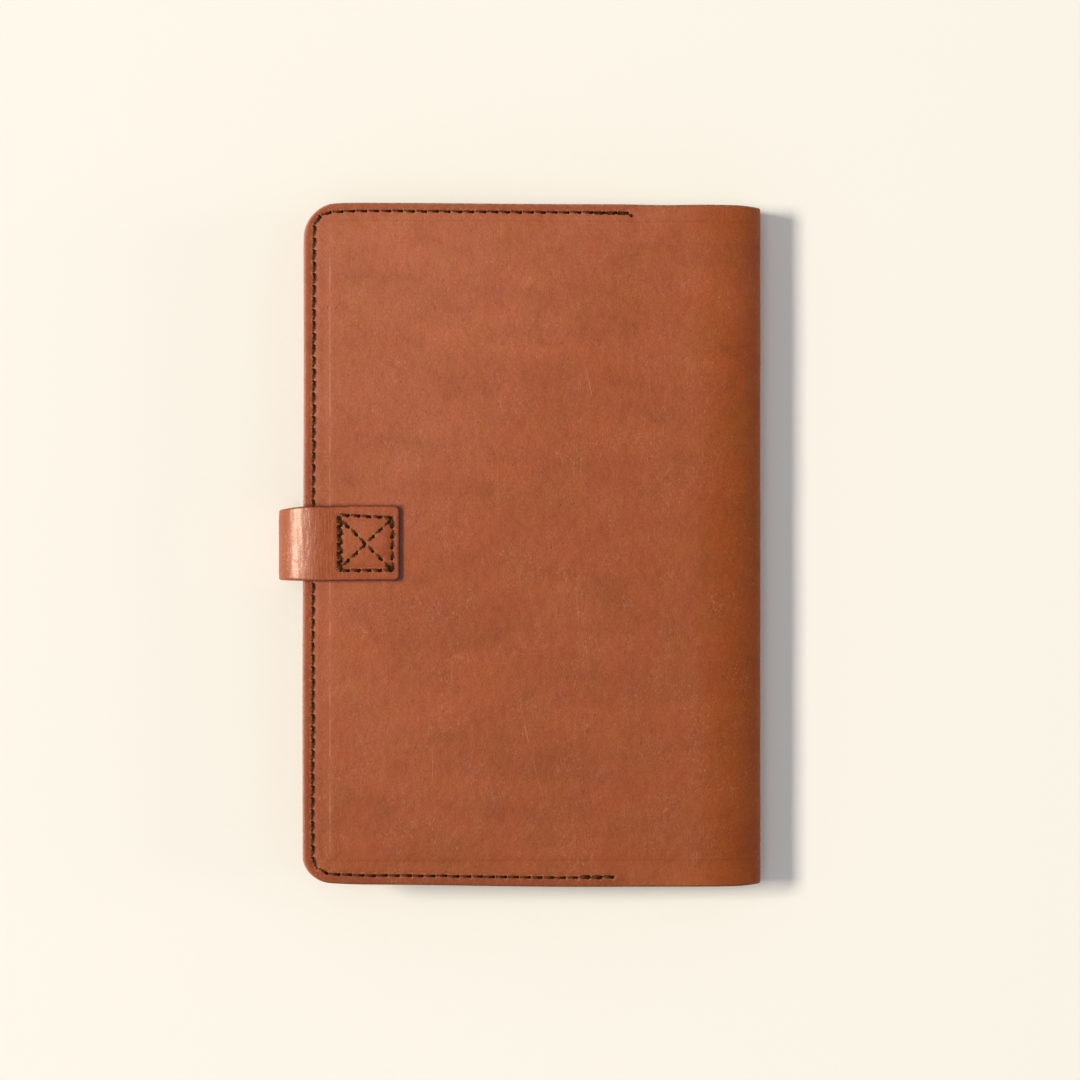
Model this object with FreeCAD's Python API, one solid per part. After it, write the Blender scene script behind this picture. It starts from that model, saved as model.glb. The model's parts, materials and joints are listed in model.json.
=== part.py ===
"""Refillable leather notebook cover, closed, with its notebook and its snap strap.

The cover lies on its front panel. +X points to the spine, +Y to the head of the book and +Z up, to
the back panel. It is modelled level, with the outer face of the front panel at z = 0. At the end all
of it is turned a little about Y, because the closed cover rests on the snap's cap and on the bend
of the spine, and it is moved so that the bottom centre of its box is the origin. Millimetres.
"""
import FreeCAD, Part
import math
import os

from FreeCAD import Vector

# Driving dimensions
COVER_WIDTH = 154.0          # fore-edge to the outside of the spine
COVER_HEIGHT = 229.0         # head to tail
STACK = 19.4                 # outer face of the front panel to outer face of the back panel
HIDE = 1.8                   # outer leather
LINING = 1.0                 # pocket leather
CORNER_HEAD = 11.0           # radius of the cover's corners at the head
CORNER_TAIL = 8.0            # and at the tail
SPINE_BEND = 8.0             # outer radius of the leather's bend at the spine
HINGE_SLIT = 0.3             # room between two bodies of one leather where it bends
BOARD = 1.8                  # notebook's cover boards
ENDPAPER = 0.2
LAYER_GAP = 0.05             # between layers of one body
BODY_GAP = 0.3               # between bodies
BOARD_FORE = 8.6             # edge of the cover to the edge of the board at the fore-edge
BOARD_SPINE = 15.0           # outside of the spine to the edge of the board
BOARD_HEIGHT = 214.0
BOARD_SHIFT = 1.6            # the notebook sits this much nearer to the head
SPINE_STRIP = 0.8            # stiff strip at the notebook's spine
SPINE_STRIP_GAP = 0.6        # leather spine to the strip
SPINE_STRIP_CURL = 12.0      # degrees that the strip turns in at its two edges
ENDPAPER_INSET = 2.0         # edge of the board to the edge of the endpaper
PAGE_SQUARE = 3.0            # the boards stand this far past the pages
PAGE_SPINE = 4.0             # outside of the spine to the pages
PAGE_ROUND = 4.2             # depth of the page block's rounded spine
POCKET_MOUTH_HEAD = 34.0     # x of the pocket's mouth at the head
POCKET_MOUTH_TAIL = 29.0     # and at the tail
POCKET_RAMP = 1.4            # width of the slope from the sewn rim to the raised pocket
STITCH_PITCH = 4.0
STITCH_LENGTH = 3.3
THREAD_RADIUS = 0.4
SEAM_FORE = 3.5              # seam line to the cover's edge
SEAM_HEAD = 2.7
SEAM_TAIL = 3.1
SEAM_CORNER_IN = 1.0         # the seam turns this much wider than a line beside the corner
SEAM_END_HEAD = 31.9         # x of the last stitch at the head
SEAM_END_TAIL = 26.9         # and at the tail
STRAP_WIDTH = 25.0
STRAP = 1.7                  # thickness of the strap's leather
STRAP_CENTRE = 0.5           # y of the strap's middle
STRAP_TAB = 32.2             # length that lies on the back panel
STRAP_BEND = 8.2             # outer radius of the strap's two bends
STRAP_LEG = 40.0             # length under the front panel
STRAP_CORNER = 2.0
SNAP_GAP = 2.4               # front panel to strap at the snap
SNAP_INSET = 26.0            # snap's axis to the cover's fore-edge
CAP_RADIUS = 6.25
CAP_HEIGHT = 1.3
CAP_RIM = 0.3                # straight rim under the cap's dome
CAP_TUBE = 2.2               # the cap's tube, through the strap
CAP_TUBE_BORE = 1.7
CAP_TUBE_FLOOR = 0.2         # metal left between the tube's bore and the dome
SOCKET_RADIUS = 5.6
SOCKET_FLOOR = 0.4
SOCKET_RIM = 0.5             # front panel to the socket
SOCKET_GROOVE = 4.6          # outer radius of the groove in the socket's face
SOCKET_LAND = 3.4            # and its inner radius
SOCKET_GROOVE_DEPTH = 0.5
STUD_NUB = 2.0
STUD_BASE = 3.3
STUD_BASE_HEIGHT = 0.35
STUD_FIT = 0.12              # nub to socket, all round
STUD_TIP_GAP = 0.15          # nub to the socket's floor
STUD_TIP = 0.4               # metal over the post in the nub
POST_RADIUS = 1.5
POST_HEAD = 4.0
POST_HEAD_HEIGHT = 0.5
BOX_SIZE = 18.0              # side of the stitched box on the strap
BOX_SIDE_STITCHES = 5
BOX_DIAGONAL_STITCHES = 6
BOX_DIAGONAL_INSET = 1.6     # corner of the box to the end of a diagonal, along each side
BOX_STITCH_SPACE = 0.6       # between two stitches of the box
BOX_CENTRE = 20.7            # its centre to the cover's fore-edge

# Places that follow from them
FORE = -COVER_WIDTH / 2
SPINE = COVER_WIDTH / 2
HEAD = COVER_HEIGHT / 2
TAIL = -COVER_HEIGHT / 2
MIDDLE = STACK / 2
BEND_X = SPINE - SPINE_BEND
DIAGONAL = math.sqrt(0.5)
HINGE_X = BEND_X + SPINE_BEND * DIAGONAL
HINGE_Z = SPINE_BEND * (1 - DIAGONAL)
BOARD_TOP = HIDE + BOARD
POCKET_TOP = BOARD_TOP + ENDPAPER + LAYER_GAP + LINING
PAGE_BOTTOM = POCKET_TOP + BODY_GAP
PAGE_TOP = MIDDLE - BODY_GAP / 2
BOARD_LEFT = FORE + BOARD_FORE
BOARD_RIGHT = SPINE - BOARD_SPINE
BOARD_HEAD = BOARD_SHIFT + BOARD_HEIGHT / 2
BOARD_TAIL = BOARD_SHIFT - BOARD_HEIGHT / 2
STRAP_TOP = STACK + STRAP
STRAP_FACE = -SNAP_GAP       # inner face of the strap's leg
UPPER_BEND_Z = STRAP_TOP - STRAP_BEND
LOWER_BEND_Z = STRAP_FACE - STRAP + STRAP_BEND
SNAP_X = FORE + SNAP_INSET
CAP_SPHERE = (CAP_RADIUS**2 + CAP_HEIGHT**2) / (2 * CAP_HEIGHT)
SOCKET_TOP = -SOCKET_RIM
SOCKET_BORE = STUD_NUB + STUD_FIT
STUD_TOP = STRAP_FACE + SOCKET_FLOOR + STUD_TIP_GAP

CUT_PAST = 1.0               # cutting tools reach this far past what they cut

ABOUT_Y = Vector(0, 1, 0)


def box(x0, y0, z0, x1, y1, z1):
    return Part.makeBox(x1 - x0, y1 - y0, z1 - z0, Vector(x0, y0, z0))


def disc(x, y, z0, z1, radius):
    return Part.makeCylinder(radius, z1 - z0, Vector(x, y, z0), Vector(0, 0, 1))


def mirrored(shape):
    """The same piece on the other side of the book's middle plane."""
    return shape.mirror(Vector(0, 0, MIDDLE), Vector(0, 0, 1))


def rounded_plate(left, right, tail, head, z0, z1, tail_radius, head_radius):
    """A plate with round corners at its left end only."""
    low = Vector(left, tail + tail_radius, z0)
    high = Vector(left, head - head_radius, z0)
    tail_mid = Vector(left + tail_radius * (1 - DIAGONAL), tail + tail_radius * (1 - DIAGONAL), z0)
    head_mid = Vector(left + head_radius * (1 - DIAGONAL), head - head_radius * (1 - DIAGONAL), z0)
    tail_end = Vector(left + tail_radius, tail, z0)
    head_end = Vector(left + head_radius, head, z0)
    edges = [
        Part.makeLine(low, high),
        Part.Arc(high, head_mid, head_end).toShape(),
        Part.makeLine(head_end, Vector(right, head, z0)),
        Part.makeLine(Vector(right, head, z0), Vector(right, tail, z0)),
        Part.makeLine(Vector(right, tail, z0), tail_end),
        Part.Arc(tail_end, tail_mid, low).toShape(),
    ]
    return Part.Face(Part.Wire(edges)).extrude(Vector(0, 0, z1 - z0))


def bend(centre_x, centre_z, inner, outer, start, end, y0, y1):
    """Part of a ring about Y. Angles are in degrees, from +X towards +Z."""
    ring = Part.makeCylinder(outer, y1 - y0, Vector(centre_x, y0, centre_z), ABOUT_Y)
    ring = ring.cut(Part.makeCylinder(inner, y1 - y0, Vector(centre_x, y0, centre_z), ABOUT_Y))
    reach = 2 * outer
    corners = [Vector(centre_x, y0, centre_z)]
    steps = 6
    for step in range(steps + 1):
        angle = math.radians(start + (end - start) * step / steps)
        corners.append(Vector(centre_x + reach * math.cos(angle), y0, centre_z + reach * math.sin(angle)))
    corners.append(corners[0])
    wedge = Part.Face(Part.makePolygon(corners)).extrude(Vector(0, y1 - y0, 0))
    return ring.common(wedge)


def slit_angle(radius):
    """Half of the hinge slit, as an angle in degrees on a bend of this radius."""
    return math.degrees(HINGE_SLIT / 2 / radius)


# Outer leather

def front_panel():
    plate = rounded_plate(FORE, BEND_X, TAIL, HEAD, 0, HIDE, CORNER_TAIL, CORNER_HEAD)
    curl = bend(BEND_X, SPINE_BEND, SPINE_BEND - HIDE, SPINE_BEND, -90, -45 - slit_angle(SPINE_BEND),
                TAIL, HEAD)
    return plate.fuse(curl).removeSplitter()


def spine_panel():
    flat = box(SPINE - HIDE, TAIL, SPINE_BEND, SPINE, HEAD, STACK - SPINE_BEND)
    lower = bend(BEND_X, SPINE_BEND, SPINE_BEND - HIDE, SPINE_BEND, -45 + slit_angle(SPINE_BEND), 0,
                 TAIL, HEAD)
    return flat.fuse([lower, mirrored(lower)]).removeSplitter()


# Pockets

def pocket():
    """Leather sewn down on three sides and raised over the notebook's board. It opens to the spine."""
    rim = rounded_plate(FORE, SPINE, TAIL, HEAD, HIDE, HIDE + LINING, CORNER_TAIL, CORNER_HEAD)
    inner_left = BOARD_LEFT - LAYER_GAP
    inner_tail = BOARD_TAIL - LAYER_GAP
    inner_head = BOARD_HEAD + LAYER_GAP
    raised = loft_block(inner_left, inner_tail, inner_head, LINING, HIDE, POCKET_TOP)
    hollow = loft_block(inner_left, inner_tail, inner_head, 0, HIDE - LINING, POCKET_TOP - LINING)
    slope = SPINE - POCKET_MOUTH_TAIL
    mouth = Part.makePolygon([
        Vector(POCKET_MOUTH_TAIL, TAIL, 0), Vector(POCKET_MOUTH_HEAD, HEAD, 0),
        Vector(SPINE + slope, HEAD, 0), Vector(SPINE + slope, TAIL, 0),
        Vector(POCKET_MOUTH_TAIL, TAIL, 0)])
    beyond_mouth = Part.Face(mouth).extrude(Vector(0, 0, STACK))
    return rim.fuse(raised).cut(hollow).cut(beyond_mouth).removeSplitter()


def outline(left, tail, head, z):
    """A rectangle that reaches the spine, as a closed wire."""
    return Part.makePolygon([Vector(left, tail, z), Vector(SPINE, tail, z), Vector(SPINE, head, z),
                             Vector(left, head, z), Vector(left, tail, z)])


def loft_block(left, tail, head, grow, z0, z1):
    """A block whose three outer sides slope in by the pocket's ramp on their way up."""
    wide = grow + POCKET_RAMP
    low = outline(left - wide, tail - wide, head + wide, z0)
    high = outline(left - grow, tail - grow, head + grow, z1)
    return Part.makeLoft([low, high], True, True)


# Notebook

def notebook_board():
    return box(BOARD_LEFT, BOARD_TAIL, HIDE, BOARD_RIGHT, BOARD_HEAD, BOARD_TOP)


def endpaper():
    return box(BOARD_LEFT + ENDPAPER_INSET, BOARD_TAIL + ENDPAPER_INSET, BOARD_TOP, BOARD_RIGHT,
               BOARD_HEAD - ENDPAPER_INSET, BOARD_TOP + ENDPAPER)


def notebook_spine():
    """Stiff strip that lines the inside of the leather spine."""
    outer = SPINE_BEND - HIDE - SPINE_STRIP_GAP
    inner = outer - SPINE_STRIP
    lower = bend(BEND_X, SPINE_BEND, inner, outer, -SPINE_STRIP_CURL, 0, BOARD_TAIL, BOARD_HEAD)
    flat = box(BEND_X + inner, BOARD_TAIL, SPINE_BEND, BEND_X + outer, BOARD_HEAD, STACK - SPINE_BEND)
    return flat.fuse([lower, mirrored(lower)]).removeSplitter()


def pages():
    """Half of the page block. Its spine side is rounded and reaches furthest at the book's middle."""
    left = BOARD_LEFT + PAGE_SQUARE
    right = SPINE - PAGE_SPINE
    tail = BOARD_TAIL + PAGE_SQUARE
    head = BOARD_HEAD - PAGE_SQUARE
    thick = PAGE_TOP - PAGE_BOTTOM
    angle = math.radians(45)
    arc = Part.Arc(
        Vector(right - PAGE_ROUND, tail, PAGE_BOTTOM),
        Vector(right - PAGE_ROUND + PAGE_ROUND * math.sin(angle), tail, PAGE_TOP - thick * math.cos(angle)),
        Vector(right, tail, PAGE_TOP)).toShape()
    edges = [
        Part.makeLine(Vector(left, tail, PAGE_BOTTOM), Vector(right - PAGE_ROUND, tail, PAGE_BOTTOM)),
        arc,
        Part.makeLine(Vector(right, tail, PAGE_TOP), Vector(left, tail, PAGE_TOP)),
        Part.makeLine(Vector(left, tail, PAGE_TOP), Vector(left, tail, PAGE_BOTTOM)),
    ]
    return Part.Face(Part.Wire(edges)).extrude(Vector(0, head - tail, 0))


# Thread

def stitch_bar(length):
    """One visible stitch along X, a round-ended bar centred on the origin."""
    half = length / 2 - THREAD_RADIUS
    bar = Part.makeCylinder(THREAD_RADIUS, 2 * half, Vector(-half, 0, 0), Vector(1, 0, 0))
    ends = [Part.makeSphere(THREAD_RADIUS, Vector(-half, 0, 0)),
            Part.makeSphere(THREAD_RADIUS, Vector(half, 0, 0))]
    return bar.fuse(ends).removeSplitter()


def placed(shape, x, y, z, turn):
    copy = shape.copy()
    copy.Placement = FreeCAD.Placement(Vector(x, y, z), FreeCAD.Rotation(Vector(0, 0, 1), turn))
    return copy


def along(points_and_turns, z, stitch):
    return [placed(stitch, x, y, z, turn) for x, y, turn in points_and_turns]


def even_steps(start, end, pitch):
    count = max(1, round(abs(end - start) / pitch))
    return [start + (end - start) * (i + 0.5) / count for i in range(count)]


def seam_places():
    """Stitch centres and directions: head, fore-edge and tail, with the two corners between."""
    left = FORE + SEAM_FORE
    head = HEAD - SEAM_HEAD
    tail = TAIL + SEAM_TAIL
    head_radius = CORNER_HEAD - SEAM_FORE + SEAM_CORNER_IN
    tail_radius = CORNER_TAIL - SEAM_TAIL + SEAM_CORNER_IN
    places = [(x, head, 0) for x in even_steps(SEAM_END_HEAD, left + head_radius, STITCH_PITCH)]
    for turn in even_steps(90, 180, 90 * STITCH_PITCH / (head_radius * math.pi / 2)):
        angle = math.radians(turn)
        places.append((left + head_radius + head_radius * math.cos(angle),
                       head - head_radius + head_radius * math.sin(angle), turn + 90))
    places += [(left, y, 90) for y in even_steps(head - head_radius, tail + tail_radius, STITCH_PITCH)]
    for turn in even_steps(180, 270, 90 * STITCH_PITCH / (tail_radius * math.pi / 2)):
        angle = math.radians(turn)
        places.append((left + tail_radius + tail_radius * math.cos(angle),
                       tail + tail_radius + tail_radius * math.sin(angle), turn + 90))
    places += [(x, tail, 0) for x in even_steps(left + tail_radius, SEAM_END_TAIL, STITCH_PITCH)]
    return places


def seam_thread():
    """Lock stitches on both faces of the sewn rim of the front cover."""
    stitch = stitch_bar(STITCH_LENGTH)
    places = seam_places()
    outside = along(places, 0, stitch)
    inside = along(places, HIDE + LINING, stitch)
    return Part.makeCompound(outside + inside)


def strap_box_thread():
    """A square of stitches with both its diagonals, on the outer face of the strap's tab."""
    half = BOX_SIZE / 2
    x = FORE + BOX_CENTRE
    y = STRAP_CENTRE
    pitch = BOX_SIZE / BOX_SIDE_STITCHES
    stitch = stitch_bar(pitch - BOX_STITCH_SPACE)
    steps = even_steps(-half, half, pitch)
    places = [(x + s, y + side * half, 0) for side in (-1, 1) for s in steps]
    places += [(x + side * half, y + s, 90) for side in (-1, 1) for s in steps]
    reach = half - BOX_DIAGONAL_INSET
    diagonal_steps = even_steps(-reach, reach, 2 * reach / BOX_DIAGONAL_STITCHES)
    places += [(x + s, y + way * s, way * 45) for way in (-1, 1) for s in diagonal_steps]
    return Part.makeCompound(along(places, STRAP_TOP, stitch))


# Strap

def strap_y():
    return STRAP_CENTRE - STRAP_WIDTH / 2, STRAP_CENTRE + STRAP_WIDTH / 2


def round_strap_end(shape, x, z0, z1, way):
    """Round the two corners of a strap's end at x. way is +1 where the end points to +X."""
    y0, y1 = strap_y()
    r = STRAP_CORNER
    for y, side in ((y0, 1), (y1, -1)):
        x_in = x - way * r
        y_in = y + side * r
        low, high = z0 - CUT_PAST, z1 + CUT_PAST
        corner = box(min(x, x_in), min(y, y_in), low, max(x, x_in), max(y, y_in), high)
        shape = shape.cut(corner.cut(disc(x_in, y_in, low, high, r)))
    return shape


def strap_tab():
    """Sewn to the back panel. It reaches round the fore-edge to the middle of the strap's upper bend."""
    y0, y1 = strap_y()
    end = FORE + STRAP_TAB
    flat = round_strap_end(box(FORE, y0, STACK, end, y1, STRAP_TOP), end, STACK, STRAP_TOP, 1)
    inner, slit = STRAP_BEND - STRAP, slit_angle(STRAP_BEND)
    curl = bend(FORE, UPPER_BEND_Z, inner, STRAP_BEND, 90, 135 - slit, y0, y1)
    return flat.fuse(curl).removeSplitter()


def strap_bend():
    y0, y1 = strap_y()
    inner, slit = STRAP_BEND - STRAP, slit_angle(STRAP_BEND)
    wall = box(FORE - STRAP_BEND, y0, LOWER_BEND_Z, FORE - STRAP_BEND + STRAP, y1, UPPER_BEND_Z)
    upper = bend(FORE, UPPER_BEND_Z, inner, STRAP_BEND, 135 + slit, 180, y0, y1)
    lower = bend(FORE, LOWER_BEND_Z, inner, STRAP_BEND, 180, 225 - slit, y0, y1)
    return wall.fuse([upper, lower]).removeSplitter()


def strap_leg():
    y0, y1 = strap_y()
    end = FORE + STRAP_LEG
    outer = STRAP_FACE - STRAP
    flat = round_strap_end(box(FORE, y0, outer, end, y1, STRAP_FACE), end, outer, STRAP_FACE, 1)
    inner, slit = STRAP_BEND - STRAP, slit_angle(STRAP_BEND)
    curl = bend(FORE, LOWER_BEND_Z, inner, STRAP_BEND, 225 + slit, 270, y0, y1)
    hole = snap_disc(outer - CUT_PAST, STRAP_FACE + CUT_PAST, CAP_TUBE)
    return flat.fuse(curl).removeSplitter().cut(hole)


# Snap fastener

def snap_disc(z0, z1, radius):
    """A disc on the snap's axis."""
    return disc(SNAP_X, STRAP_CENTRE, z0, z1, radius)


def snap_cap():
    """Domed outer cap with a tube that goes through the strap and is rolled over in the socket."""
    outer = STRAP_FACE - STRAP
    dome = Part.makeSphere(CAP_SPHERE, Vector(SNAP_X, STRAP_CENTRE, outer - CAP_HEIGHT + CAP_SPHERE))
    above = snap_disc(outer, outer + 3 * CAP_SPHERE, 2 * CAP_SPHERE)
    rim = snap_disc(outer - CAP_RIM, outer, CAP_RADIUS)
    tube = snap_disc(outer, STRAP_FACE, CAP_TUBE)
    bore = snap_disc(outer + CAP_TUBE_FLOOR, STRAP_FACE + CUT_PAST, CAP_TUBE_BORE)
    return dome.cut(above).fuse([rim, tube]).cut(bore).removeSplitter()


def snap_socket():
    """Ring on the strap's inner face that the stud springs into."""
    body = snap_disc(STRAP_FACE, SOCKET_TOP, SOCKET_RADIUS)
    mouth = snap_disc(STRAP_FACE + SOCKET_FLOOR, SOCKET_TOP + CUT_PAST, SOCKET_BORE)
    groove = snap_disc(SOCKET_TOP - SOCKET_GROOVE_DEPTH, SOCKET_TOP + CUT_PAST, SOCKET_GROOVE)
    land = snap_disc(STRAP_FACE, SOCKET_TOP, SOCKET_LAND)
    return body.cut(groove.cut(land)).cut(mouth)


def snap_stud():
    """Base ring on the front panel with the round nub that snaps into the socket."""
    base = snap_disc(-STUD_BASE_HEIGHT, 0, STUD_BASE)
    nub = snap_disc(STUD_TOP, -STUD_BASE_HEIGHT, STUD_NUB)
    hole = snap_disc(STUD_TOP + STUD_TIP, CUT_PAST, POST_RADIUS)
    return base.fuse(nub).cut(hole)


def snap_post():
    """Rivet from the inside of the front panel into the stud. Its head is sunk in the leather."""
    head = snap_disc(HIDE - POST_HEAD_HEIGHT, HIDE, POST_HEAD)
    shank = snap_disc(STUD_TOP + STUD_TIP, HIDE - POST_HEAD_HEIGHT, POST_RADIUS)
    return head.fuse(shank)


def front_panel_with_post_hole():
    hole = snap_disc(-CUT_PAST, HIDE + CUT_PAST, POST_RADIUS)
    seat = snap_disc(HIDE - POST_HEAD_HEIGHT, HIDE + CUT_PAST, POST_HEAD)
    return front_panel().cut(hole).cut(seat)


# Resting place

def rest_tilt():
    """Angle in radians that brings the cap's dome and the spine's lower bend to one level."""
    cap_x, cap_z = SNAP_X, STRAP_FACE - STRAP - CAP_HEIGHT + CAP_SPHERE
    away_x = BEND_X - cap_x
    away_z = SPINE_BEND - cap_z
    far = math.hypot(away_x, away_z)
    return math.atan2(away_z, away_x) - math.asin((SPINE_BEND - CAP_SPHERE) / far)


def main():
    front = front_panel()
    rim_thread = seam_thread()
    pocket_leather = pocket()
    board = notebook_board()
    paper = endpaper()
    page_half = pages()
    nodes = {
        "front_panel": front_panel_with_post_hole(),
        "spine_panel": spine_panel(),
        "back_panel": mirrored(front),
        "front_pocket": pocket_leather,
        "back_pocket": mirrored(pocket_leather),
        "front_seam_thread": rim_thread,
        "back_seam_thread": mirrored(rim_thread),
        "notebook_front_board": board,
        "notebook_back_board": mirrored(board),
        "notebook_spine": notebook_spine(),
        "front_endpaper": paper,
        "back_endpaper": mirrored(paper),
        "front_pages": page_half,
        "back_pages": mirrored(page_half),
        "strap_tab": strap_tab(),
        "strap_bend": strap_bend(),
        "strap_leg": strap_leg(),
        "strap_box_thread": strap_box_thread(),
        "snap_cap": snap_cap(),
        "snap_socket": snap_socket(),
        "snap_stud": snap_stud(),
        "snap_post": snap_post(),
    }
    tilt = rest_tilt()
    for shape in nodes.values():
        shape.rotate(Vector(0, 0, 0), ABOUT_Y, math.degrees(tilt))
    whole = FreeCAD.BoundBox()
    for shape in nodes.values():
        whole.add(shape.optimalBoundingBox(False, False))
    shift = Vector(-whole.Center.x, -whole.Center.y, -whole.ZMin)
    os.makedirs("parts", exist_ok=True)
    for name, shape in nodes.items():
        shape.translate(shift)
        shape.exportStep("parts/" + name + ".step")
    print("tilt in degrees", math.degrees(tilt), "shift", tuple(shift))
    print("box", whole.XLength, whole.YLength, whole.ZLength)


main()
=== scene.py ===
"""A closed leather notebook cover with its snap strap, lying on its front on a pale floor.

The pieces are drawn in the book's own level frame, in millimetres: +X to the spine, +Y to the head,
+Z out of the back cover, with the front cover's outer face at z = 0. to_frame() puts that frame where
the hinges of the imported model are, so each piece lands on the node that it stands for.
"""
import json
import math
from functools import reduce

import bmesh
import bpy
import numpy as np
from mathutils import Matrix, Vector


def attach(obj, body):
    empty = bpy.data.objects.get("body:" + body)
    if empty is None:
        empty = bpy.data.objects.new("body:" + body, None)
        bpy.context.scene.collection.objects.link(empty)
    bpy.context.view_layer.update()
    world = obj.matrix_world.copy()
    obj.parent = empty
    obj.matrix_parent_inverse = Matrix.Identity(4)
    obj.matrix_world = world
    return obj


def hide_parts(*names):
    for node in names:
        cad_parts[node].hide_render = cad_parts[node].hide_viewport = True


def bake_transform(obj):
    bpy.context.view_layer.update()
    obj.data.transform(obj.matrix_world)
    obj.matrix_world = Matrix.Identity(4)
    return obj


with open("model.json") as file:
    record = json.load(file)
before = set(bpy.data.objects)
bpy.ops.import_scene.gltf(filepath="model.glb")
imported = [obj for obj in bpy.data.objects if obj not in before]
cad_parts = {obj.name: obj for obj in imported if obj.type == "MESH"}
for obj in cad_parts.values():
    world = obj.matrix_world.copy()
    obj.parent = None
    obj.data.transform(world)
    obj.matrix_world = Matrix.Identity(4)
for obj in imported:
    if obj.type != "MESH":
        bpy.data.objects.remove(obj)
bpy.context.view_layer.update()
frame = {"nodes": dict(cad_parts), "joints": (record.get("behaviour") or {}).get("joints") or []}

# The book's dimensions, in millimetres
WIDTH, HEIGHT, STACK = 154.0, 229.0, 19.4
FORE, SPINE = -WIDTH / 2, WIDTH / 2
HEAD, TAIL = HEIGHT / 2, -HEIGHT / 2
MIDDLE = STACK / 2
HIDE, LINING = 1.8, 1.0
SPINE_BEND = 8.0
BEND_X = SPINE - SPINE_BEND
# The cover rounds down from FLAT_END to the spine, where the hide is pared to SPINE_SKIN
SPINE_REACH = 24.5
FLAT_END = SPINE + 0.5 - SPINE_REACH
SPINE_SKIN = 1.05
DIAGONAL = math.sqrt(0.5)
HINGE_X = BEND_X + SPINE_BEND * DIAGONAL
HINGE_Z = SPINE_BEND * (1 - DIAGONAL)
BOARD_LEFT, BOARD_RIGHT = FORE + 8.6, SPINE - 15.0
BOARD_TAIL, BOARD_HEAD = -105.4, 108.6
POCKET_TOP = 4.85
PAGE_BOTTOM, PAGE_TOP = 5.15, 9.55
MOUTH_HEAD, MOUTH_TAIL = 34.0, 29.0
PITCH = 4.0
SEAM_THREAD, BOX_THREAD = 0.84, 1.05
STRAP_WIDTH, STRAP, STRAP_CENTRE = 25.0, 1.7, 0.5
STRAP_HALF = STRAP_WIDTH / 2
STRAP_TAB, STRAP_BEND, STRAP_LEG = 32.2, 8.2, 40.0
STRAP_TOP = STACK + STRAP
STRAP_FACE = -2.4
LOWER_BEND_Z = STRAP_FACE - STRAP + STRAP_BEND
BOX_SIZE, BOX_X = 18.0, FORE + 20.7

rng = np.random.default_rng(7)


# Placing

def joint_place(name):
    """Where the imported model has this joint, in metres."""
    return Vector(next(j["pos_m"] for j in frame["joints"] if j["name"] == name))


HINGE = joint_place("cover_hinge")
UP = (joint_place("back_hinge") - HINGE).normalized()
RIGHT = Vector((UP.z, 0, -UP.x))


def to_frame(points):
    """Level millimetres to the row frame's metres."""
    p = np.asarray(points, float).reshape(-1, 3)
    along, up = (p[:, 0] - HINGE_X) / 1000, (p[:, 2] - HINGE_Z) / 1000
    return np.stack([
        HINGE.x + along * RIGHT.x + up * UP.x,
        p[:, 1] / 1000,
        HINGE.z + along * RIGHT.z + up * UP.z], axis=1)


def point(x, y, z):
    """One level point in the row frame."""
    return Vector(to_frame([(x, y, z)])[0])


# Meshes

# Folds of more than SHARP_FROM degrees stay sharp. FAR stands for a distance that is out of reach.
# EDGE_STEPS are the places of the points next to a rounded edge.
SHARP_FROM = 50
FAR = 50.0
EDGE_STEPS = np.array([0, 0.06, 0.16, 0.3, 0.48, 0.7, 1.0, 1.4, 1.9])


def grid_faces(rows, cols, start=0, flip=False):
    """Quads of a grid whose points are stored row by row from start."""
    i, j = np.meshgrid(np.arange(rows - 1), np.arange(cols - 1), indexing="ij")
    a = start + i * cols + j
    quads = np.stack([a, a + 1, a + cols + 1, a + cols], axis=-1).reshape(-1, 4)
    return quads[:, ::-1] if flip else quads


def new_mesh(name, points, faces, smooth=True):
    """An object in the scene, from points in level millimetres."""
    mesh = bpy.data.meshes.new(name)
    mesh.from_pydata(to_frame(points).tolist(), [], [list(map(int, f)) for f in faces])
    mesh.shade_smooth() if smooth else mesh.shade_flat()
    mesh.validate()
    obj = bpy.data.objects.new(name, mesh)
    bpy.context.scene.collection.objects.link(obj)
    return obj


def keep_values(obj, name, values):
    """Store a number or a vector at each point, for the material to read."""
    values = np.asarray(values, np.float32)
    if values.ndim == 2:
        obj.data.attributes.new(name, "FLOAT_VECTOR", "POINT").data.foreach_set("vector", values.ravel())
    else:
        obj.data.attributes.new(name, "FLOAT", "POINT").data.foreach_set("value", values)


def keep_on_both(obj, **grids):
    """Store the same grids of values on the outer and the inner face of a slab."""
    for name, grid in grids.items():
        grid = grid.reshape(-1, 3) if grid.shape[-1] == 3 else grid.ravel()
        keep_values(obj, name, np.concatenate([grid, grid]))


def fix_normals(obj):
    """Turn all faces outwards."""
    bm = bmesh.new()
    bm.from_mesh(obj.data)
    bmesh.ops.recalc_face_normals(bm, faces=bm.faces)
    bm.to_mesh(obj.data)
    bm.free()


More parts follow.
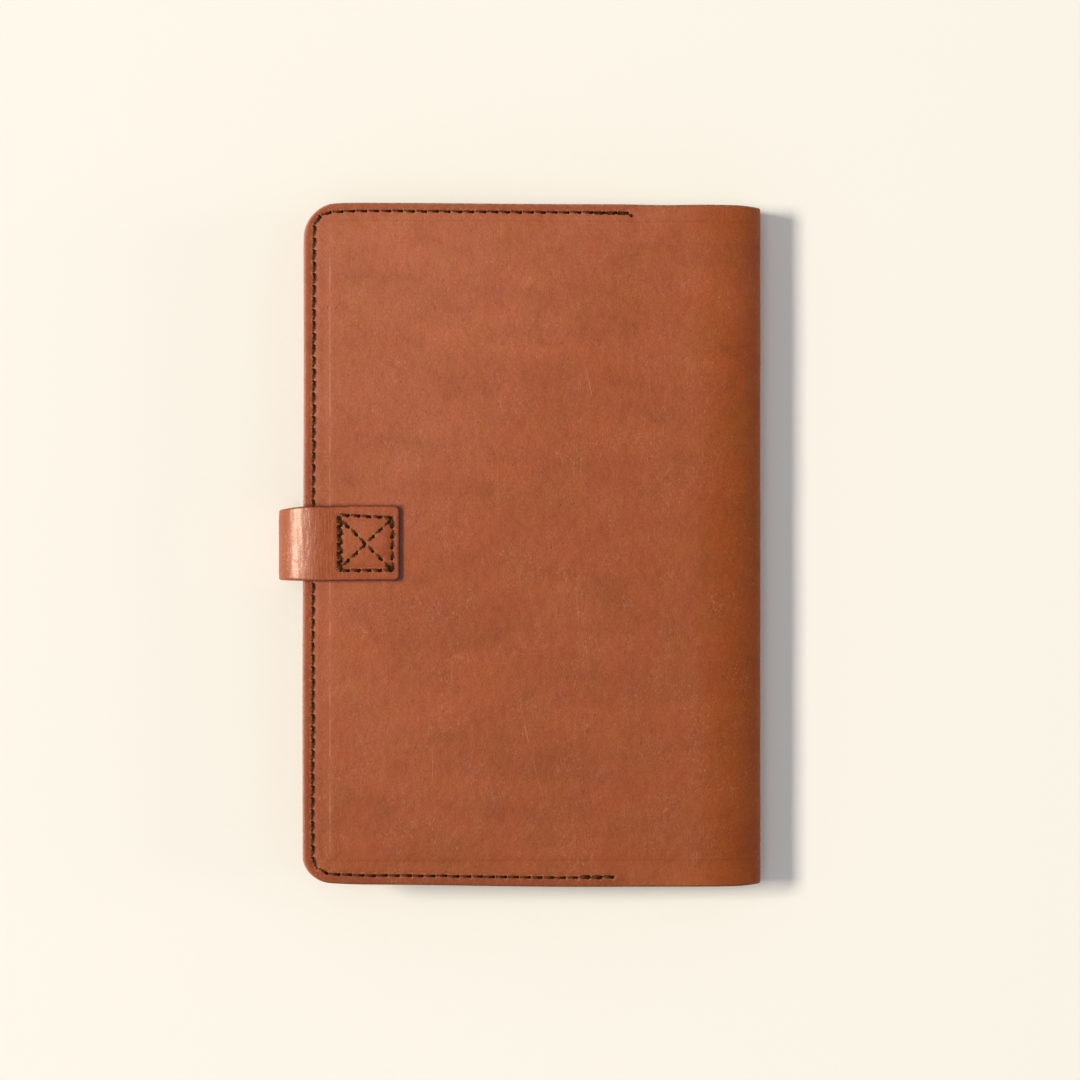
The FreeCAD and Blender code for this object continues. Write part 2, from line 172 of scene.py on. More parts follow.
def slab(name, outer, inner, sheet_outer, sheet_inner):
    """A closed skin between two grids of the same size. sheet holds each point's place in the flat
    leather: distance along it, height, and depth below the grain side, all in millimetres."""
    rows, cols = outer.shape[:2]
    count = rows * cols
    faces = [grid_faces(rows, cols), grid_faces(rows, cols, count, flip=True)]
    rims = [np.arange(cols), (rows - 1) * cols + np.arange(cols)[::-1],
            (np.arange(rows) * cols)[::-1], np.arange(rows) * cols + cols - 1]
    for rim in rims:
        a, b = rim[:-1], rim[1:]
        faces.append(np.stack([b, a, a + count, b + count], axis=-1))
    points = np.concatenate([outer.reshape(-1, 3), inner.reshape(-1, 3)])
    obj = new_mesh(name, points, np.concatenate(faces))
    keep_values(obj, "sheet", np.concatenate([sheet_outer.reshape(-1, 3), sheet_inner.reshape(-1, 3)]))
    fix_normals(obj)
    obj.data.set_sharp_from_angle(angle=math.radians(SHARP_FROM))
    return obj


def smooth_step(value, low, high):
    """0 below low, 1 above high, and an S-curve between them."""
    t = np.clip((value - low) / (high - low), 0, 1)
    return t * t * (3 - 2 * t)


def bump(value, centre, width):
    """A smooth hump, 1 high at its centre."""
    return np.exp(-((value - centre) / width) ** 2)


def round_drop(distance, radius):
    """How far a rounded edge falls below the flat, at this distance from the outline."""
    t = np.clip(1 - distance / radius, 0, 1)
    return radius * (1 - np.sqrt(np.clip(1 - t * t, 0, 1)))


def ripple(x, y, seed, size):
    """Slow unevenness between about -1 and 1, with waves of roughly this size."""
    waves = np.random.default_rng(seed)
    total = np.zeros_like(np.asarray(x, float))
    for _ in range(7):
        turn = waves.uniform(0, 2 * math.pi)
        length = size * waves.uniform(0.6, 1.8)
        phase = waves.uniform(0, 2 * math.pi)
        total += np.sin((x * math.cos(turn) + y * math.sin(turn)) * 2 * math.pi / length + phase)
    return total / 3.5


# The cover's outline, as a flat piece of leather

HEAD_CORNER = (9.5, 10.0)
TAIL_CORNER = (9.5, 8.0)


def worn_side(y):
    """x of the fore-edge at height y, without its corners. Worn leather is never quite straight."""
    lean = -0.35 * (HEAD - y) / HEIGHT
    return FORE + 0.15 + lean + 0.12 * np.sin(y / 31.0) + 0.7 * np.clip(1 - (HEAD - y) / 16, 0, 1) ** 2


def fore_edge(y):
    """x of the fore-edge at height y, with its rounded corners."""
    x = worn_side(y)
    for sign, (across, down) in ((1, HEAD_CORNER), (-1, TAIL_CORNER)):
        t = np.clip((sign * y - (HEAD - down)) / down, 0, 1)
        x = x + across * (1 - np.sqrt(np.clip(1 - t * t, 0, 1)))
    return x


def tail_lift(x):
    """The tail edge rises a little towards the fore-edge, and more at the corner."""
    corner = np.clip(1 - (x - FORE) / 22, 0, 1) ** 2
    sag = 0.6 * smooth_step(x, -50, 20)
    return 0.75 * smooth_step(-x, -40, 74) + 0.12 * np.sin(x / 23.0) + 1.2 * corner - sag


def head_drop(x):
    """The head edge falls a little towards the spine, and more at the fore-edge corner."""
    corner = np.clip(1 - (x - FORE) / 18, 0, 1) ** 2
    return 0.15 * smooth_step(x, 20, 76) + 0.10 * np.sin(x / 19.0 + 1) + 0.25 * bump(x, 45, 9) + 1.4 * corner


def shift_rows(x, y):
    """Move straight rows onto the slightly uneven head and tail edges."""
    toward_head = smooth_step(y, 60, HEAD)
    toward_tail = smooth_step(-y, 60, HEAD)
    return y - head_drop(x) * toward_head + tail_lift(x) * toward_tail


def edge_distance(x, y):
    """Distance inside the outline, from the sides and the two rounded corners, before shift_rows."""
    left = x - worn_side(y)
    distance = np.minimum(np.minimum(left, HEAD - y), y - TAIL)
    for sign, (across, down) in ((1, HEAD_CORNER), (-1, TAIL_CORNER)):
        dx = (across - left) / across
        dy = (sign * y - (HEAD - down)) / down
        inside = (dx > 0) & (dy > 0)
        reach = np.sqrt(np.clip(dx, 0, None) ** 2 + np.clip(dy, 0, None) ** 2)
        corner = (1 - reach) * 0.5 * (across + down)
        distance = np.where(inside, np.minimum(distance, corner), distance)
    return np.clip(distance, 0, None)


# Seams

SEAM_X = FORE + 3.6
SEAM_HEAD_Y = HEAD - 2.75
SEAM_TAIL_Y = TAIL + 3.2
SEAM_CORNER_HEAD = 5.0
SEAM_CORNER_TAIL = 5.5
SEAM_END_HEAD = 31.9
SEAM_END_TAIL = 26.9
# On its way from head to tail, the seam leans this far towards the fore-edge
SEAM_LEAN = 0.6


def seam_line(step=0.1):
    """Points along the edge seam, from its end at the head, round the fore-edge, to its end at the tail."""
    parts = []

    def run(x0, y0, x1, y1):
        count = int(math.hypot(x1 - x0, y1 - y0) / step)
        t = np.linspace(0, 1, count, endpoint=False)
        parts.append(np.stack([x0 + (x1 - x0) * t, y0 + (y1 - y0) * t], axis=1))

    def corner(cx, cy, radius, start):
        count = int(radius * math.pi / 2 / step)
        turn = np.radians(np.linspace(start, start + 90, count, endpoint=False))
        parts.append(np.stack([cx + radius * np.cos(turn), cy + radius * np.sin(turn)], axis=1))

    run(SEAM_END_HEAD, SEAM_HEAD_Y, SEAM_X + SEAM_CORNER_HEAD, SEAM_HEAD_Y)
    corner(SEAM_X + SEAM_CORNER_HEAD, SEAM_HEAD_Y - SEAM_CORNER_HEAD, SEAM_CORNER_HEAD, 90)
    tail_x = SEAM_X - SEAM_LEAN
    run(SEAM_X, SEAM_HEAD_Y - SEAM_CORNER_HEAD, tail_x, SEAM_TAIL_Y + SEAM_CORNER_TAIL)
    corner(tail_x + SEAM_CORNER_TAIL, SEAM_TAIL_Y + SEAM_CORNER_TAIL, SEAM_CORNER_TAIL, 180)
    run(tail_x + SEAM_CORNER_TAIL, SEAM_TAIL_Y, SEAM_END_TAIL, SEAM_TAIL_Y)
    line = np.concatenate(parts)
    line[:, 1] = shift_rows(line[:, 0], line[:, 1])
    return line


SEAM = seam_line()
SEAM_LENGTHS = np.concatenate([[0], np.cumsum(np.hypot(*np.diff(SEAM, axis=0).T))])


def on_seam(distance):
    """Points at these distances along the seam."""
    return np.stack([np.interp(distance, SEAM_LENGTHS, SEAM[:, 0]),
                     np.interp(distance, SEAM_LENGTHS, SEAM[:, 1])], axis=-1)


HOLE_COUNT = int(round(SEAM_LENGTHS[-1] / PITCH)) + 1
HOLES = on_seam(np.linspace(0, SEAM_LENGTHS[-1], HOLE_COUNT))


def beside_line(line, stitches, x, y, reach=1.6):
    """Where each point is beside a sewn line: how many stitches along it, and how many millimetres to
    its left. Points out of reach get a large distance."""
    flat = np.stack([x.ravel(), y.ravel()], axis=1)
    lengths = np.concatenate([[0], np.cumsum(np.hypot(*np.diff(line, axis=0).T))])
    tangent = np.gradient(line, axis=0)
    tangent /= np.hypot(*tangent.T)[:, None]
    place = np.zeros((len(flat), 3))
    for start in range(0, len(flat), 4000):
        part = flat[start:start + 4000]
        nearest = ((part[:, None, :] - line[None, :, :]) ** 2).sum(-1).argmin(1)
        away, way = part - line[nearest], tangent[nearest]
        place[start:start + 4000, 0] = lengths[nearest] + (away * way).sum(1)
        place[start:start + 4000, 1] = way[:, 0] * away[:, 1] - way[:, 1] * away[:, 0]
    place[:, 0] *= stitches / lengths[-1]
    past_end = (place[:, 0] < -0.4) | (place[:, 0] > stitches + 0.4)
    far = (np.abs(place[:, 1]) > reach) | past_end
    place[far, 1] = FAR * np.where(place[far, 1] < 0, -1, 1)
    return place


def distance_to(places, x, y):
    """Distance from each grid point to the nearest of the places."""
    flat = np.stack([x.ravel(), y.ravel()], axis=1)
    nearest = np.full(len(flat), 1e9)
    for start in range(0, len(flat), 10000):
        gap = flat[start:start + 10000, None, :] - places[None, :, :]
        nearest[start:start + 10000] = np.sqrt((gap ** 2).sum(-1)).min(1)
    return nearest.reshape(x.shape)


# Leather relief

def inside_board(x, y):
    """Distance inside the edge of the notebook's board, negative outside it."""
    return np.minimum(np.minimum(x - BOARD_LEFT - 0.1, BOARD_HEAD - 0.4 - y), y - BOARD_TAIL)


def board_relief(x, y):
    """The notebook's board lifts the leather a little."""
    return 0.22 * smooth_step(inside_board(x, y), -1.0, 0.9)


def cover_relief(x, y, seed):
    """Height of the grain side above the plain sheet, for the front or the back cover."""
    seam_gap = distance_to(SEAM[::6], x, y)
    hole_gap = distance_to(HOLES, x, y)
    groove = -0.20 * bump(seam_gap, 0, 0.75) + 0.06 * bump(seam_gap, 1.7, 0.8)
    pricks = -0.30 * bump(hole_gap, 0, 0.6)
    waves = 0.10 * ripple(x, y, seed, 55) + 0.035 * ripple(x, y, seed + 1, 14)
    pull = -0.30 * bump(np.hypot(x - SEAM_END_HEAD - 4, (y - SEAM_HEAD_Y) * 0.7), 0, 5)
    pull += -0.25 * bump(np.hypot(x - SEAM_END_TAIL - 4, (y - SEAM_TAIL_Y) * 0.7), 0, 5)
    return board_relief(x, y) + groove + pricks + waves + pull


# Outer leather

SPINE_STEPS = 44


def quarter_ellipse(across, down, steps):
    """Angles round a quarter of an ellipse, and the distance along it at each."""
    angle = np.linspace(0, math.pi / 2, steps + 1)
    fine = np.linspace(0, math.pi / 2, 2001)
    speed = np.hypot(across * np.cos(fine), down * np.sin(fine))
    length = np.concatenate([[0], np.cumsum((speed[1:] + speed[:-1]) / 2 * np.diff(fine))])
    return angle, np.interp(angle, fine, length)


ARC_ANGLES, ARC_LENGTHS = quarter_ellipse(SPINE_REACH, MIDDLE, SPINE_STEPS)
COVER_REACH = ARC_LENGTHS[-1] + FLAT_END - FORE


def spaced(low, high, step, low_edge=True, high_edge=True):
    """Even places with a few extra ones close to the edges, where the leather is rounded."""
    start = low + EDGE_STEPS if low_edge else np.array([low])
    end = high - EDGE_STEPS[::-1] if high_edge else np.array([high])
    count = int(round((end[0] - start[-1]) / step))
    return np.concatenate([start, np.linspace(start[-1], end[0], count + 1)[1:-1], end])


def beside_tab(x, y):
    """Distance past the end of the strap's tab, past its head side and past its tail side."""
    past_end = x - (FORE + STRAP_TAB)
    up = y - STRAP_CENTRE
    return np.stack([past_end, up - STRAP_HALF, -up - STRAP_HALF], -1).reshape(-1, 3)


def spine_tuck(x):
    """The ends of the spine draw in a little where the leather goes round it."""
    return 0.4 * smooth_step(x, 66, 77.5) ** 2


def hide_half(name, side):
    """Half of the outer leather, from the fore-edge to the middle of the spine. side is 1 for the
    back cover and -1 for the front cover."""
    rows = spaced(TAIL, HEAD, 0.8)
    across = spaced(0, FLAT_END - FORE, 0.95, high_edge=False)
    turns = ARC_ANGLES[1:]
    y0, s = np.meshgrid(rows, across, indexing="ij")
    left = fore_edge(y0)
    x_flat = left + (FLAT_END - left) * s / (FLAT_END - FORE)
    yb, turn = np.meshgrid(rows, turns, indexing="ij")
    x = np.concatenate([x_flat, FLAT_END + SPINE_REACH * np.sin(turn)], axis=1)
    y_row = np.concatenate([y0, yb], axis=1)
    turn = np.concatenate([np.zeros_like(x_flat), turn], axis=1)
    y = shift_rows(x, y_row) - spine_tuck(x) * (smooth_step(y_row, 80, HEAD) - smooth_step(-y_row, 80, HEAD))
    edge = edge_distance(x, y_row)
    round_bend = smooth_step(turn, 0.5, 1.2)
    relief = cover_relief(x, y, 20 + side) * (1 - round_bend)
    relief += 0.06 * round_bend * ripple(turn * 22, y, 31 + side, 30)
    skin = HIDE - (HIDE - SPINE_SKIN) * smooth_step(x, FLAT_END - 4, BOARD_RIGHT)

    def layer(depth):
        """Points this deep below the plain sheet."""
        nx, nz = np.sin(turn) / SPINE_REACH, np.cos(turn) / MIDDLE
        size = np.hypot(nx, nz)
        x_in = x - depth * nx / size
        z_in = MIDDLE * np.cos(turn) - depth * nz / size
        return np.stack([x_in, y, MIDDLE + side * np.maximum(z_in, 0)], axis=-1)

    drop, rise = round_drop(edge, 0.85), round_drop(edge, 0.25)
    along = np.where(turn > 0, COVER_REACH - (FLAT_END - FORE) - np.interp(turn, ARC_ANGLES, ARC_LENGTHS),
                     COVER_REACH - (x - FORE)) * side
    obj = slab(name, layer(drop - relief), layer(skin - rise), np.stack([along, y, drop], -1),
               np.stack([along, y, np.full_like(drop, HIDE)], -1))
    keep_on_both(obj, edge=edge, seam=beside_line(SEAM[::5], HOLE_COUNT - 1, x, y),
                 ends=np.minimum(HEAD - y_row, y_row - TAIL), board=np.clip(inside_board(x, y), -4, 4),
                 tab=beside_tab(x, y) if side > 0 else np.full((x.size, 3), FAR))
    return obj


# Pockets

POCKET_WIDTH = 106.0


def mouth_x(y):
    """x of the pocket's mouth at height y."""
    return MOUTH_TAIL + (MOUTH_HEAD - MOUTH_TAIL) * (y - TAIL) / HEIGHT


def pocket_piece(name, side):
    """Pocket leather, sewn to the rim of the cover and raised over the notebook's board."""
    rows = spaced(TAIL, HEAD, 1.0)
    share = spaced(0, POCKET_WIDTH, 0.98) / POCKET_WIDTH
    y0, s = np.meshgrid(rows, share, indexing="ij")
    left = fore_edge(y0)
    x = left + (mouth_x(y0) - left) * s
    y = shift_rows(x, y0)
    rim = np.minimum(edge_distance(x, y0), mouth_x(y0) - x)
    inside = np.minimum(np.minimum(x - (BOARD_LEFT - 1.6), BOARD_HEAD + 1.6 - y), y - (BOARD_TAIL - 1.6))
    lift = (POCKET_TOP - LINING - HIDE) * smooth_step(inside, -0.9, 1.6)
    seam_gap = distance_to(SEAM[::6], x, y)
    hole_gap = distance_to(HOLES, x, y)
    groove = -0.14 * bump(seam_gap, 0, 0.7) - 0.22 * bump(hole_gap, 0, 0.6)
    low = HIDE + lift + round_drop(rim, 0.2)
    high = HIDE + LINING + lift - round_drop(rim, 0.45) + groove * smooth_step(rim, 0, 1.2)

    def level(z):
        return z if side < 0 else STACK - z

    outer = np.stack([x, y, level(high)], -1)
    inner = np.stack([x, y, level(low)], -1)
    sheet = np.stack([x * side, y, round_drop(rim, 0.45)], -1)
    sheet_in = np.stack([x * side, y, np.full_like(x, LINING)], -1)
    obj = slab(name, outer, inner, sheet, sheet_in)
    keep_on_both(obj, edge=rim)
    return obj


# Thread

THREAD_SIDES = 7
THREAD_STEPS = 13
STITCH_SPACE = 0.62


def stitch_points(length, thread, twist_start):
    """Two twisted plies of one stitch along X, centred on the origin. It comes up thin beside its first
    hole, and dives thick and steep into the second."""
    t = np.linspace(0, 1, THREAD_STEPS)
    x = -length / 2 + STITCH_SPACE + t * (length - STITCH_SPACE + 0.1)
    arch = np.clip(np.sin(np.pi * (0.04 + 0.92 * t ** 1.15)), 0, 1) ** 0.5
    z = -0.40 + (0.40 + thread * 0.40) * arch
    plies = []
    for ply in range(2):
        turn = twist_start + math.pi * ply + t * 2 * math.pi * 1.1
        offset = thread * 0.22
        cy, cz = offset * np.cos(turn), z + offset * np.sin(turn) * 0.8
        around = np.linspace(0, 2 * math.pi, THREAD_SIDES, endpoint=False)
        radius = thread * 0.36 * (0.74 + 0.26 * smooth_step(t, 0.1, 0.6))
        ring_y = cy[:, None] + radius[:, None] * np.cos(around)
        ring_z = cz[:, None] + radius[:, None] * np.sin(around)
        plies.append(np.stack([np.repeat(x[:, None], THREAD_SIDES, 1), ring_y, ring_z], -1))
    return plies


def tube_faces(start):
    """Quads round one ply whose points begin at start, with both ends closed."""
    faces = []
    for i in range(THREAD_STEPS - 1):
        for j in range(THREAD_SIDES):
            a = start + i * THREAD_SIDES + j
            b = start + i * THREAD_SIDES + (j + 1) % THREAD_SIDES
            faces.append((a, b, b + THREAD_SIDES, a + THREAD_SIDES))
    faces.append(tuple(start + j for j in range(THREAD_SIDES))[::-1])
    last = start + (THREAD_STEPS - 1) * THREAD_SIDES
    faces.append(tuple(last + j for j in range(THREAD_SIDES)))
    return faces


def thread_piece(name, stitches, thread):
    """One mesh for many stitches. Each is (start, end, height of the leather, side, slant)."""
    points, faces, lengthwise = [], [], []
    for start, end, level, side, slant in stitches:
        start, end = np.asarray(start), np.asarray(end)
        middle = (start + end) / 2
        length = math.hypot(*(end - start))
        turn = math.atan2(end[1] - start[1], end[0] - start[0])
        turn += math.radians(slant) + rng.normal(0, 0.03)
        middle = middle + rng.normal(0, 0.05, 2)
        plies = stitch_points(length, thread * rng.uniform(0.94, 1.06), rng.uniform(0, 6))
        for ply in plies:
            flat = ply.reshape(-1, 3)
            x = middle[0] + flat[:, 0] * math.cos(turn) - flat[:, 1] * math.sin(turn)
            y = middle[1] + flat[:, 0] * math.sin(turn) + flat[:, 1] * math.cos(turn)
            faces += tube_faces(sum(map(len, points)))
            points.append(np.stack([x, y, level + side * flat[:, 2]], -1))
            lengthwise.append(flat)
    obj = new_mesh(name, np.concatenate(points), faces)
    keep_values(obj, "sheet", np.concatenate(lengthwise))
    fix_normals(obj)
    return obj


def seam_stitches(side):
    """Both faces of a cover's edge seam, with its last stitches sewn twice."""
    outside = MIDDLE + side * (MIDDLE - 0.12)
    inside = MIDDLE + side * (MIDDLE - HIDE - LINING + 0.08)
    stitches = []
    for a, b in zip(HOLES[:-1], HOLES[1:]):
        if (b - a).sum() < 0:
            a, b = b, a
        slant = -7 if b[1] > SEAM_TAIL_Y + 1 else -2
        stitches.append((a, b, outside, side, slant))
        stitches.append((a, b, inside, -side, slant))
    for ends in (HOLES[:4], HOLES[-4:]):
        for a, b in zip(ends[:-1], ends[1:]):
            beside = np.array([0.3, -0.45 * np.sign(a[1])])
            stitches.append((a + beside, b + beside, outside, side, -5))
    tail_hook = HOLES[0] + np.array([1.3, -1.4])
    stitches.append((HOLES[0] + np.array([-0.3, -0.2]), tail_hook, outside, side, 0))
    return stitches


HALF_BOX = BOX_SIZE / 2

# The square and its diagonals: start, end, number of stitches and slant. Its left side is sewn twice.
BOX_ROWS = [
    ((-HALF_BOX, HALF_BOX + 0.6), (HALF_BOX, HALF_BOX - 0.3), 5, -8),
    ((HALF_BOX, HALF_BOX - 0.3), (HALF_BOX, -HALF_BOX), 5, -6),
    ((-HALF_BOX, -HALF_BOX), (HALF_BOX, -HALF_BOX + 0.1), 5, -7),
    ((-HALF_BOX, -HALF_BOX), (-HALF_BOX, HALF_BOX), 6, -5),
    ((-HALF_BOX + 0.75, HALF_BOX - 0.4), (-HALF_BOX + 0.75, -HALF_BOX - 0.3), 6, 6),
    ((-HALF_BOX + 0.9, HALF_BOX - 0.9), (HALF_BOX - 0.6, -HALF_BOX + 0.6), 6, -7),
    ((-HALF_BOX + 0.9, -HALF_BOX + 0.9), (HALF_BOX - 0.6, HALF_BOX - 1.2), 6, -6),
]


def box_row_ends(start, end):
    """The ends of a row of the box, moved onto the strap's tab."""
    centre = np.array([BOX_X, STRAP_CENTRE])
    return centre + np.array(start), centre + np.array(end)


def box_stitches():
    """The stitches of the square and its diagonals, on the strap's tab."""
    stitches = []
    for start, end, count, slant in BOX_ROWS:
        start, end = box_row_ends(start, end)
        for i in range(count):
            a, b = start + (end - start) * i / count, start + (end - start) * (i + 1) / count
            stitches.append((a, b, STRAP_TOP - 0.16, 1, slant))
    return stitches


BOX_HOLES = np.array([end for stitch in box_stitches() for end in stitch[:2]])


def beside_box(x, y):
    """Where each point of the strap is beside the nearest line of the stitched box."""
    place = np.tile([0.0, FAR, 0.0], (x.size, 1))
    for start, end, count, _ in BOX_ROWS:
        start, end = box_row_ends(start, end)
        line = start + (end - start) * np.linspace(0, 1, 40)[:, None]
        other = beside_line(line, count, x, y, 1.1)
        nearer = np.abs(other[:, 1]) < np.abs(place[:, 1])
        place[nearer] = other[nearer]
    return place


# Strap

STRAP_REACH, STRAP_FALL = 13.2, 9.0
STRAP_CORNER = 2.0
# The strap's places in its leather start here, so that its grain differs from the cover's
STRAP_SHEET = 200
STRAP_FLAT = STRAP_TAB + STRAP_BEND - STRAP_REACH
STRAP_ANGLES, STRAP_ARC = quarter_ellipse(STRAP_REACH, STRAP_FALL, 200)
BEND_ARC = STRAP_BEND * math.pi / 2
WALL = STRAP_TOP - STRAP_FALL - LOWER_BEND_Z
UPPER_ARC = STRAP_ARC[-1]
STRAP_MIDDLE = STRAP_FLAT + UPPER_ARC + WALL / 2
STRAP_LENGTH = STRAP_FLAT + UPPER_ARC + WALL + BEND_ARC + STRAP_LEG


def strap_place(s, depth):
    """x and z at a distance s along the strap from the end of its tab, this deep below its grain side."""
    s = np.asarray(s, float)
    depth = np.broadcast_to(depth, s.shape)
    on_flat = np.clip(s, 0, STRAP_FLAT)
    turn = np.interp(s - STRAP_FLAT, STRAP_ARC, STRAP_ANGLES)
    on_wall = np.clip(s - STRAP_FLAT - UPPER_ARC, 0, WALL)
    lower = np.clip(s - STRAP_FLAT - UPPER_ARC - WALL, 0, BEND_ARC) / STRAP_BEND
    on_leg = np.clip(s - STRAP_LENGTH + STRAP_LEG, 0, None)
    nx, nz = np.sin(turn) / STRAP_REACH, np.cos(turn) / STRAP_FALL
    size = np.hypot(nx, nz)
    x_up = FORE + STRAP_TAB - on_flat - STRAP_REACH * np.sin(turn) + depth * nx / size
    z_up = STRAP_TOP - STRAP_FALL * (1 - np.cos(turn)) - on_wall - depth * nz / size
    radius = STRAP_BEND - depth
    x_low = FORE - radius * np.cos(lower) + on_leg
    z_low = LOWER_BEND_Z + WALL - on_wall - radius * np.sin(lower)
    return np.where(s > STRAP_MIDDLE, x_low, x_up), np.where(s > STRAP_MIDDLE, z_low, z_up)


def strap_taper(s):
    """The strap's head side draws in a little where it goes round the edge."""
    return 1.3 * smooth_step(s, STRAP_FLAT + 3, STRAP_FLAT + UPPER_ARC)


def strap_relief(s, v, x, y, edge, side_gap, on_tab):
    """Height of the strap's grain side above the plain sheet: a low crown and the wrinkles of its upper
    bend. On the tab, the stitches press in and the leather inside their square stands up."""
    on_bend = bump(s, STRAP_FLAT + 5, 8)
    wrinkle = 0.02 * on_bend * np.sin(s * 2.6 + 2.5 * ripple(s * 0.5, v * 0.5, 51, 9))
    wrinkle += 0.02 * on_bend * ripple(s * 2.6, v * 0.6, 52, 6)
    press, pillow = 0.0, 0.0
    if on_tab:
        press = -0.22 * bump(distance_to(BOX_HOLES, x, y), 0, 0.75)
        box_gap = HALF_BOX - np.maximum(np.abs(x - BOX_X), np.abs(y - STRAP_CENTRE))
        pillow = 0.16 * smooth_step(box_gap, 0.3, 3.0) - 0.10 * bump(box_gap, 0, 0.9)
    crown = 0.10 * smooth_step(side_gap, 0.6, 4) + 0.04 * ripple(s, v, 53, 20)
    return (crown + pillow + press + wrinkle) * smooth_step(edge, 0, 1.0)


def strap_piece(name, s0, s1, on_tab):
    """The strap from s0 to s1, measured from the end of its tab. The tab's piece has the sewn, rounded
    end, and the other piece the free one."""
    along = spaced(s0, s1, 0.55, low_edge=on_tab, high_edge=not on_tab)
    across = spaced(-STRAP_HALF, STRAP_HALF, 0.6)
    s, v = np.meshgrid(along, across, indexing="ij")
    end_gap = s if on_tab else STRAP_LENGTH - s
    side_gap = STRAP_HALF - np.abs(v)
    edge = np.minimum(side_gap, end_gap)
    v = v * (STRAP_HALF - round_drop(end_gap, STRAP_CORNER)) / STRAP_HALF
    y = STRAP_CENTRE + v - strap_taper(s) * smooth_step(v, -STRAP_HALF, STRAP_HALF)
    y = y + 0.12 * np.sin(s / 6.0) * np.abs(v) / STRAP_HALF

    x_top, _ = strap_place(s, 0)
    drop = round_drop(edge, 0.75)
    x_out, z_out = strap_place(s, drop - strap_relief(s, v, x_top, y, edge, side_gap, on_tab))
    x_in, z_in = strap_place(s, STRAP - round_drop(edge, 0.3))
    outer = np.stack([x_out, y, z_out], -1)
    inner = np.stack([x_in, y, z_in], -1)
    sheet = np.stack([s + STRAP_SHEET, y, drop], -1)
    sheet_in = np.stack([s + STRAP_SHEET, y, np.full_like(s, STRAP)], -1)
    obj = slab(name, outer, inner, sheet, sheet_in)
    keep_on_both(obj, edge=edge, seam=beside_box(x_top, y) if on_tab else np.full((s.size, 3), FAR))
    return obj


# Pages

LEAF_LEFT, LEAF_RIGHT = BOARD_LEFT + 3.0, SPINE - 4.0
LEAF_TAIL, LEAF_HEAD = BOARD_TAIL + 3.0, BOARD_HEAD - 3.0
LEAF_GROUPS = 22
PAGE_CORNER = 5.0
PAGE_SPINE_ROUND = 4.2


def leaf_outline(left, right, tail, head):
    """A leaf's outline, with its two fore-edge corners rounded."""
    turns = np.radians(np.linspace(0, 90, 7))
    inner = left + PAGE_CORNER
    head_in, tail_in = head - PAGE_CORNER, tail + PAGE_CORNER
    loop = [(right, tail), (right, head)]
    loop += [(inner - PAGE_CORNER * math.sin(a), head_in + PAGE_CORNER * math.cos(a)) for a in turns]
    loop += [(inner - PAGE_CORNER * math.cos(a), tail_in - PAGE_CORNER * math.sin(a)) for a in turns]
    return loop


def page_half(name, side):
    """Half of the page block, as many thin gatherings whose edges don't quite line up."""
    points, faces, sheet = [], [], []
    thick = (PAGE_TOP - PAGE_BOTTOM) / LEAF_GROUPS
    uneven = np.random.default_rng(90 + side)
    for k in range(LEAF_GROUPS):
        z0 = PAGE_BOTTOM + k * thick
        z1 = z0 + thick * 0.93 if k < LEAF_GROUPS - 1 else PAGE_TOP
        deep = 1 - (z0 + z1 - 2 * PAGE_BOTTOM) / (2 * (PAGE_TOP - PAGE_BOTTOM))
        right = LEAF_RIGHT - PAGE_SPINE_ROUND * (1 - math.sqrt(1 - deep ** 2))
        left = LEAF_LEFT + uneven.uniform(-0.10, 0.10) + 0.5 * (1 - deep) ** 2
        tail = LEAF_TAIL + uneven.uniform(-0.06, 0.06)
        head = LEAF_HEAD + uneven.uniform(-0.06, 0.06)
        loop = leaf_outline(left, right, tail, head)
        start, count = len(points), len(loop)
        for z in (z0, z1):
            level = z if side < 0 else STACK - z
            points += [(x, y, level) for x, y in loop]
            sheet += [(x, y, z) for x, y in loop]
        faces.append([start + i for i in range(count)])
        faces.append([start + count + i for i in range(count)][::-1])
        for i in range(count):
            j = (i + 1) % count
            faces.append([start + i, start + j, start + count + j, start + count + i])
    obj = new_mesh(name, points, faces, smooth=False)
    keep_values(obj, "sheet", sheet)
    fix_normals(obj)
    return obj


# Materials

